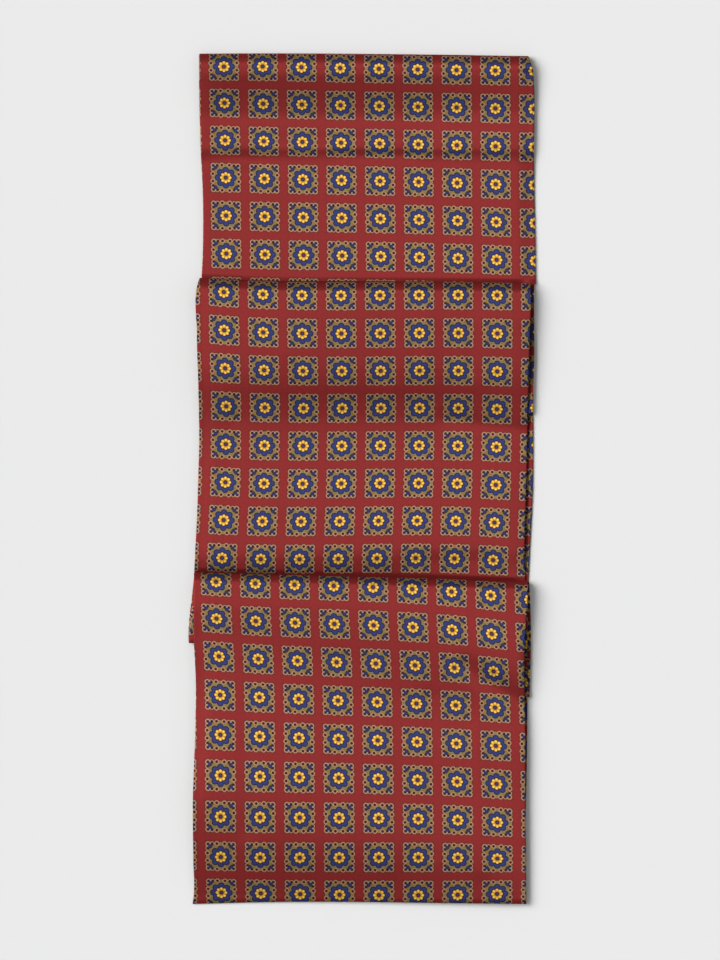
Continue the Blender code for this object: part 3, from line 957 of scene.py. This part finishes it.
def medallion(graph, place):
    """The print's colour at a place measured from a flower's centre, in millimetres.

    The medallion is the same in eight directions, so the place is folded into
    one eighth of it and every form is drawn there, once.
    """
    parts = graph.node("ShaderNodeSeparateXYZ")
    graph.feed(parts.inputs[0], place)
    wide = graph.maths("ABSOLUTE", parts.outputs[0])
    tall = graph.maths("ABSOLUTE", parts.outputs[1])
    far = graph.maths("MAXIMUM", wide, tall)
    near = graph.maths("MINIMUM", wide, tall)
    joined = graph.node("ShaderNodeCombineXYZ")
    graph.feed(joined.inputs[0], far)
    graph.feed(joined.inputs[1], near)
    folded = joined.outputs[0]
    radius = graph.circle(folded, 0.0, 0.0, 0.0)

    def shape(below, distance, paint, softness=SOFTNESS):
        return graph.mix(graph.inside(distance, softness), below, paint)

    # The square's scalloped border, with a dot on each side of its middle.
    middle_scallop = (11.4, 0.0)
    dot = (11.7, 3.4)
    lobe = (11.35, 7.65)
    corner_lobe = (11.1, 11.1)
    scallops = graph.nearest(
        graph.maths("SUBTRACT", far, SQUARE_HALF),
        graph.circle(folded, *dot, 2.2),
        graph.circle(folded, *lobe, 2.1),
        graph.circle(folded, *corner_lobe, 2.45),
        graph.circle(folded, *middle_scallop, 1.5),
    )
    paint = shape(GROUND, graph.maths("SUBTRACT", far, HALO_HALF), HALO, HALO_SOFTNESS)
    paint = shape(paint, scallops, BORDER)
    paint = shape(paint, graph.maths("ADD", scallops, BORDER_LINE), FIELD)
    paint = shape(paint, graph.circle(folded, *dot, 2.0), BORDER)
    paint = shape(paint, graph.circle(folded, *dot, 1.25), MAROON)
    paint = shape(paint, graph.circle(folded, *middle_scallop, 1.1), FIELD)

    # The blue rosette with its dark line and pale outline.
    rosette = graph.nearest(
        graph.circle(folded, 7.1, 0.0, 2.95),
        graph.circle(folded, 5.0, 5.0, 2.95),
        graph.maths("SUBTRACT", radius, ROSETTE_ROUND),
    )
    paint = shape(paint, graph.maths("SUBTRACT", rosette, OUTLINE_LINE), OUTLINE)
    paint = shape(paint, rosette, DARK_LINE)
    paint = shape(paint, graph.maths("ADD", rosette, ROSETTE_LINE), NAVY)

    # The blue leaf in each corner, its lobes and its pale spots.
    corner = (9.7, 9.7)
    spot = (11.7, 9.35)
    paint = shape(paint, graph.circle(folded, *corner, 2.35), DARK_LINE)
    paint = shape(paint, graph.circle(folded, *lobe, 1.4), CORNER_LOBE)
    paint = shape(paint, graph.circle(folded, *corner_lobe, 1.45), CORNER_LOBE)
    paint = shape(paint, graph.circle(folded, *corner, 1.9), CORNER)
    paint = shape(paint, graph.circle(folded, *spot, 0.7), CORNER_SPOT)

    # The flower: eight petals with bright tips, round a dark ring.
    petals = graph.nearest(
        graph.circle(folded, 3.75, 0.0, 1.5),
        graph.circle(folded, 2.65, 2.65, 1.5),
        graph.maths("SUBTRACT", radius, FLOWER_ROUND),
    )
    tips = graph.nearest(
        graph.circle(folded, 3.9, 0.0, 0.95),
        graph.circle(folded, 2.76, 2.76, 0.95),
    )
    paint = shape(paint, graph.maths("SUBTRACT", petals, PETAL_LINE), DARK_LINE)
    paint = shape(paint, petals, PETAL)
    paint = shape(paint, tips, PETAL_TIP, TIP_SOFTNESS)
    paint = shape(paint, graph.maths("SUBTRACT", radius, RING_RADIUS), CENTRE_RING)
    return shape(paint, graph.maths("SUBTRACT", radius, CORE_RADIUS), CORE, CORE_SOFTNESS)


def flower_place(graph, cloth):
    """Each point's place from the centre of its flower, in millimetres."""
    tile = graph.vectors("FRACTION", graph.vectors("ADD", cloth, PRINT_SHIFT))
    return graph.scaled(graph.vectors("SUBTRACT", tile, TILE_MIDDLE), COLUMN_PITCH)


def grain(graph, millimetres):
    """Light and dark slubs a millimetre or two long, lying roughly along the twill."""
    turned = graph.node("ShaderNodeMapping")
    graph.feed(turned.inputs["Vector"], millimetres)
    graph.feed(turned.inputs["Rotation"], (0.0, 0.0, GRAIN_TURN))
    graph.feed(turned.inputs["Scale"], GRAIN_SCALE)
    noise = graph.node("ShaderNodeTexNoise", noise_dimensions="2D")
    graph.feed(noise.inputs["Vector"], turned.outputs[0])
    graph.feed(noise.inputs["Scale"], 1.0)
    graph.feed(noise.inputs["Detail"], 2.0)
    shade = graph.node("ShaderNodeMapRange")
    graph.feed(shade.inputs["Value"], noise.outputs["Fac"])
    graph.feed(shade.inputs["From Min"], GRAIN_RANGE[0])
    graph.feed(shade.inputs["From Max"], GRAIN_RANGE[1])
    graph.feed(shade.inputs["To Min"], GRAIN_SHADE[0])
    graph.feed(shade.inputs["To Max"], GRAIN_SHADE[1])
    return shade.outputs[0]


def twill(graph, millimetres):
    """Fine diagonal ridges."""
    ridges = graph.node("ShaderNodeTexWave", wave_type="BANDS", bands_direction="DIAGONAL")
    graph.feed(ridges.inputs["Vector"], millimetres)
    graph.feed(ridges.inputs["Scale"], TWILL_SCALE)
    bump = graph.node("ShaderNodeBump")
    graph.feed(bump.inputs["Height"], ridges.outputs["Fac"])
    graph.feed(bump.inputs["Strength"], TWILL_STRENGTH)
    graph.feed(bump.inputs["Distance"], TWILL_DEPTH)
    return bump.outputs[0]


def silk_material():
    """Printed silk twill: the medallions, a fine grain and a soft sheen.

    The threads' gloss is narrow along the scarf and wide across it.
    """
    material = bpy.data.materials.new("printed_silk")
    material.use_nodes = True
    tree = material.node_tree
    graph = Graph(tree)
    principled = tree.nodes["Principled BSDF"]

    cloth = graph.node("ShaderNodeUVMap", uv_map="print").outputs[0]
    millimetres = graph.vectors("MULTIPLY", cloth, (COLUMN_PITCH, ROW_PITCH, 1.0))
    paint = medallion(graph, flower_place(graph, cloth))
    shaded = graph.scaled(paint, grain(graph, millimetres))
    threads = graph.node("ShaderNodeTangent", direction_type="UV_MAP", uv_map="print")
    graph.feed(principled.inputs["Base Color"], shaded)
    graph.feed(principled.inputs["Normal"], twill(graph, millimetres))
    graph.feed(principled.inputs["Tangent"], threads.outputs[0])
    principled.inputs["Roughness"].default_value = 0.64
    principled.inputs["Metallic"].default_value = 0.42
    principled.inputs["Specular IOR Level"].default_value = 0.1
    principled.inputs["Anisotropic"].default_value = 0.9
    return material


# ----------------------------------------------------------------- the pieces of cloth
def stretch_sides(name):
    """Side edges that are found in the same tables for every station of a piece."""
    return lambda number: EDGES[name]


def lower_tuck_sides(number):
    """The lower tuck's sides differ between its two layers."""
    going = number < LAYER_STATIONS + LOWER_FOLD_STEPS // 2
    return EDGES["lower_tuck_going"] if going else EDGES["lower_tuck_coming"]


def shown_cloth(name, stretch, stations, first_seen, closed_end=None):
    """Make one of the three stretches that show: the piece and its length."""
    layout = lay_out(stations, stretch_sides(stretch))
    across, from_top, height, _ = layout
    length = path_length(from_top, height)
    columns = print_columns(PRINT_ROWS[stretch], across, from_top)
    rows = print_rows(PRINT_ROWS[stretch], columns, from_top, height, length, first_seen)
    piece = cloth_mesh(name, layout, True, columns, rows, closed_end)
    return piece, float(length[-1].mean())


def hidden_cloth(name, stations, sides, flower, print_table, closed_end=None):
    """Make one of the layers that lie beneath: the piece and its length.

    A flower lies at the given distance from the top, at the right side edge. In a
    tuck that is the edge of the layer on its way back.
    """
    layout = lay_out(stations, sides)
    across, from_top, height, _ = layout
    length = path_length(from_top, height)
    columns = print_columns(PRINT_ROWS[print_table], across, from_top)
    layer = slice(-LAYER_STATIONS, None) if closed_end is None else slice(None)
    start = np.interp(-flower, -from_top[layer, -1], length[layer, -1])
    rows = (length - start) / ROW_PITCH
    piece = cloth_mesh(name, layout, False, columns, rows, closed_end)
    return piece, float(length[-1].mean())


def top_cloth():
    """The upper stretch, with the top fold."""
    stations = top_fold_stations()
    first_seen = len(stations) - 1
    stations += body_stations(
        "top",
        lambda x: line("top_fold", x) + TOP_FOLD_REACH + PAST_TOP_FOLD,
        lambda x: line("upper_tuck", x) - tuck_length("top", x),
    )
    stations += tuck_stations("top", "upper_tuck")
    return shown_cloth("top_cloth", "top", stations, first_seen)


def middle_cloth():
    """The middle stretch, from its crest to the lower tuck."""
    stations = crest_stations("middle", "upper_tuck")
    stations += body_stations(
        "middle",
        lambda x: line("upper_tuck", x) + CREST_GAP + crest_length("middle", x) + PAST_CREST,
        lambda x: line("lower_tuck", x) - tuck_length("middle", x),
    )
    stations += tuck_stations("middle", "lower_tuck")
    return shown_cloth("middle_cloth", "middle", stations, FIRST_ON_SLOPE)


def bottom_cloth():
    """The lower stretch, from its crest to its turned-in end."""
    stations = crest_stations("bottom", "lower_tuck")
    stations += body_stations(
        "bottom",
        lambda x: line("lower_tuck", x) + CREST_GAP + crest_length("bottom", x) + PAST_CREST,
        lambda x: line("hem", x),
    )
    return shown_cloth("bottom_cloth", "bottom", stations, FIRST_ON_SLOPE, "last")


def upper_tuck_cloth():
    """The cloth that is tucked back under the middle stretch."""
    stations = hidden_tuck_stations("upper_tuck", "upper_fold")
    sides = stretch_sides("upper_tuck")
    return hidden_cloth("upper_tuck_cloth", stations, sides, UPPER_TUCK_FLOWER, "under")


def lower_tuck_cloth():
    """The cloth that is tucked back under the lower stretch."""
    stations = hidden_tuck_stations("lower_tuck", "lower_fold")
    sides = lower_tuck_sides
    return hidden_cloth("lower_tuck_cloth", stations, sides, LOWER_TUCK_FLOWER, "bottom")


def under_cloth():
    """The hidden half, on the table."""
    sides = stretch_sides("under")
    return hidden_cloth("under_cloth", under_stations(), sides, UNDER_FLOWER, "under", "first")


def dress(made, node, silk):
    """Give a piece of cloth its material and its place in the frame, and hide the part that it
    replaces.
    """
    piece, length = made
    piece.data.materials.append(silk)
    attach(piece, "root")
    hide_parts(node)


def make_scarf():
    """All the cloth, from the top fold down."""
    silk = silk_material()
    dress(top_cloth(), "top_panel", silk)
    dress(middle_cloth(), "middle_panel", silk)
    dress(bottom_cloth(), "bottom_panel", silk)
    dress(upper_tuck_cloth(), "hidden_layers", silk)
    dress(lower_tuck_cloth(), "hidden_layers", silk)
    dress(under_cloth(), "hidden_layers", silk)


# ------------------------------------------------------------- floor, light, camera
FLOOR_SIZE = 12.0
FLOOR_DROP = 0.1 * MM
FLOOR_PALE = (0.80, 0.80, 0.80, 1.0)
SURROUND = 0.34


def make_floor():
    """A plain pale table top."""
    mesh = bpy.data.meshes.new("floor")
    half = FLOOR_SIZE / 2.0
    corners = [(-half, -half, 0.0), (half, -half, 0.0), (half, half, 0.0), (-half, half, 0.0)]
    mesh.from_pydata(corners, [], [(0, 1, 2, 3)])
    floor = bpy.data.objects.new("floor", mesh)
    floor.location.z = -FLOOR_DROP
    bpy.context.scene.collection.objects.link(floor)
    material = bpy.data.materials.new("pale_table")
    material.use_nodes = True
    principled = material.node_tree.nodes["Principled BSDF"]
    principled.inputs["Base Color"].default_value = FLOOR_PALE
    principled.inputs["Roughness"].default_value = 0.9
    principled.inputs["Specular IOR Level"].default_value = 0.1
    mesh.materials.append(material)


def add_sun(name, energy, wide, elevation, towards_top):
    """A distant light from the left, turned towards the top of the scarf, in degrees."""
    sun = bpy.data.lights.new(name, "SUN")
    sun.energy = energy
    sun.angle = math.radians(wide)
    light = bpy.data.objects.new(name, sun)
    light.rotation_euler = (0.0, math.radians(90.0 - elevation), math.radians(180.0 - towards_top))
    bpy.context.scene.collection.objects.link(light)
    return light


def make_light():
    """A soft key light from the upper left, its strip in the gloss, an even surround."""
    key = add_sun("key", energy=3.2, wide=46.0, elevation=43.0, towards_top=18.0)
    key.visible_glossy = False
    strip = add_sun("strip", energy=4.35, wide=8.0, elevation=43.0, towards_top=6.0)
    strip.visible_diffuse = False
    world = bpy.data.worlds.new("surround")
    world.use_nodes = True
    background = world.node_tree.nodes["Background"]
    background.inputs["Color"].default_value = (1.0, 1.0, 1.0, 1.0)
    background.inputs["Strength"].default_value = SURROUND
    bpy.context.scene.world = world


def make_camera():
    """Straight above, with the photograph's frame at 0.9 mm a pixel."""
    data = bpy.data.cameras.new("camera")
    data.sensor_width = SENSOR
    data.lens = SENSOR * CAMERA_HEIGHT / (PHOTO_HEIGHT * PIXEL)
    data.clip_end = 50.0
    camera = bpy.data.objects.new("camera", data)
    camera.location = (VIEW_X, VIEW_Y, CAMERA_HEIGHT)
    bpy.context.scene.collection.objects.link(camera)
    bpy.context.scene.camera = camera
    bpy.context.scene.view_settings.view_transform = "Standard"


make_floor()
make_light()
make_camera()
make_scarf()
